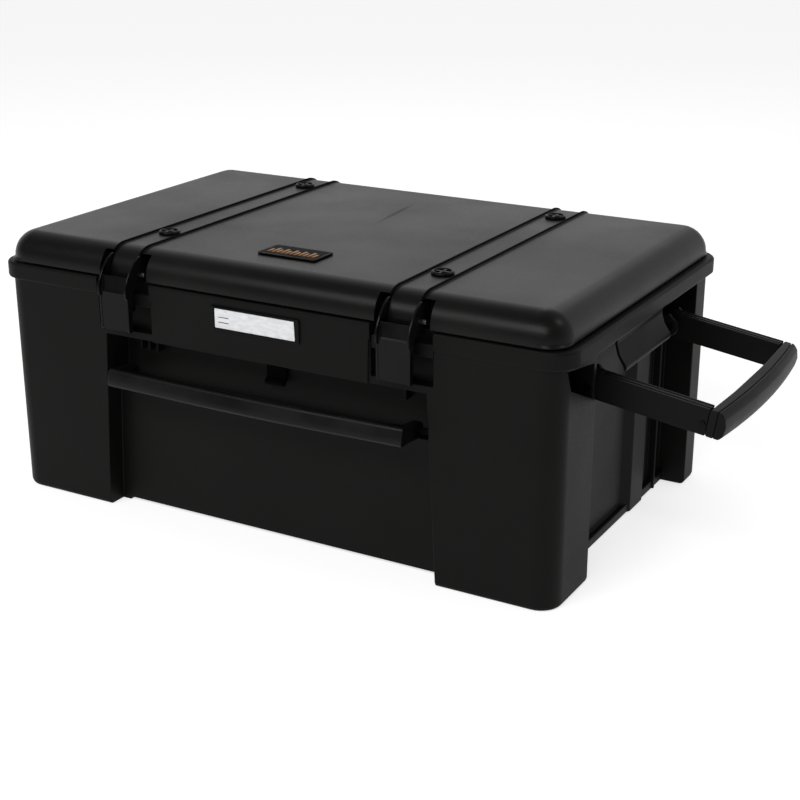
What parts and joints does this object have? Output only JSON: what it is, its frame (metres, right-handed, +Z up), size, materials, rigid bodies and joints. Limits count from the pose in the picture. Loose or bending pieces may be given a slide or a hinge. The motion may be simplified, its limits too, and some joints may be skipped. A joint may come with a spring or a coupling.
{
  "type": "wheeled tool trunk",
  "caption": "Dark moulded plastic tool trunk with a hinged lid, toggle latches, a fold-out carry handle on the long side, a fold-down pull handle on one end and wheels at the other.",
  "frame": {"origin": "on the floor under the middle of the whole object, pull handle and hinges included", "axes": "+X along the trunk towards the pull handle, -Y the side with the latches and the carry handle, +Z up"},
  "size_m": [0.771, 0.438, 0.2803],
  "materials": {
    "case_plastic": "fine moulded texture",
    "lid_plastic": "fine moulded texture, slightly glossier",
    "latch_plastic": "smooth black",
    "handle_plastic": "smooth black",
    "pull_plastic": "satin black",
    "grip_insert": "satin black",
    "trim_plastic": "satin black",
    "dark_plastic": "dull black",
    "gasket_rubber": "soft black",
    "label_card": "plain white card",
    "badge": "black with a thin copper border",
    "pin_steel": "plain steel",
    "wheel_hub": "moulded grey-black",
    "wheel_tyre": "solid rubber"
  },
  "bodies": {
    "base": {"base_shell": "case_plastic", "rim_gasket": "gasket_rubber", "label_frame": "case_plastic", "label_card": "label_card", "latch_keeper_left": "case_plastic", "latch_keeper_right": "case_plastic", "handle_clip": "dark_plastic", "wheel_axle_front": "pin_steel", "wheel_axle_rear": "pin_steel", "hinge_pin_left": "pin_steel", "hinge_pin_right": "pin_steel", "carry_handle_pin_left": "dark_plastic", "carry_handle_pin_right": "dark_plastic", "pull_handle_pin_front": "dark_plastic", "pull_handle_pin_rear": "dark_plastic"},
    "lid": {"lid_shell": "lid_plastic", "lid_stud_left_front": "trim_plastic", "lid_stud_left_back": "trim_plastic", "lid_stud_right_front": "trim_plastic", "lid_stud_right_back": "trim_plastic", "badge_plate": "badge", "latch_pin_left": "pin_steel", "latch_pin_right": "pin_steel"},
    "latch_left": {"latch_lever_left": "latch_plastic", "latch_hook_left": "latch_plastic"},
    "latch_right": {"latch_lever_right": "latch_plastic", "latch_hook_right": "latch_plastic"},
    "carry_handle": {"carry_handle": "handle_plastic"},
    "pull_handle": {"pull_arm_front": "pull_plastic", "pull_arm_rear": "pull_plastic", "pull_grip_shell": "pull_plastic", "pull_grip_insert": "grip_insert", "grip_screw_front": "trim_plastic", "grip_screw_rear": "trim_plastic"},
    "wheel_front": {"wheel_hub_front": "wheel_hub", "wheel_tyre_front": "wheel_tyre"},
    "wheel_rear": {"wheel_hub_rear": "wheel_hub", "wheel_tyre_rear": "wheel_tyre"}
  },
  "joints": [
    {"name": "lid_hinge", "type": "hinge", "parent": "base", "child": "lid", "pos_m": [-0.04953, 0.2115, 0.2462], "axis": [-1, 0, 0], "range_deg": [0, 100]},
    {"name": "latch_left_hinge", "type": "hinge", "parent": "lid", "child": "latch_left", "pos_m": [-0.20553, -0.186, 0.2525], "axis": [-1, 0, 0], "range_deg": [0, 80]},
    {"name": "latch_right_hinge", "type": "hinge", "parent": "lid", "child": "latch_right", "pos_m": [0.10647, -0.186, 0.2525], "axis": [-1, 0, 0], "range_deg": [0, 80]},
    {"name": "carry_handle_hinge", "type": "hinge", "parent": "base", "child": "carry_handle", "pos_m": [-0.04953, -0.18, 0.147], "axis": [-1, 0, 0], "range_deg": [0, 78]},
    {"name": "pull_handle_hinge", "type": "hinge", "parent": "base", "child": "pull_handle", "pos_m": [0.25347, 0, 0.193], "axis": [0, 1, 0], "range_deg": [-8, 80]},
    {"name": "wheel_front_spin", "type": "hinge", "parent": "base", "child": "wheel_front", "pos_m": [-0.34553, -0.093, 0.042], "axis": [0, 1, 0], "continuous": true},
    {"name": "wheel_rear_spin", "type": "hinge", "parent": "base", "child": "wheel_rear", "pos_m": [-0.34553, 0.093, 0.042], "axis": [0, 1, 0], "continuous": true}
  ]
}
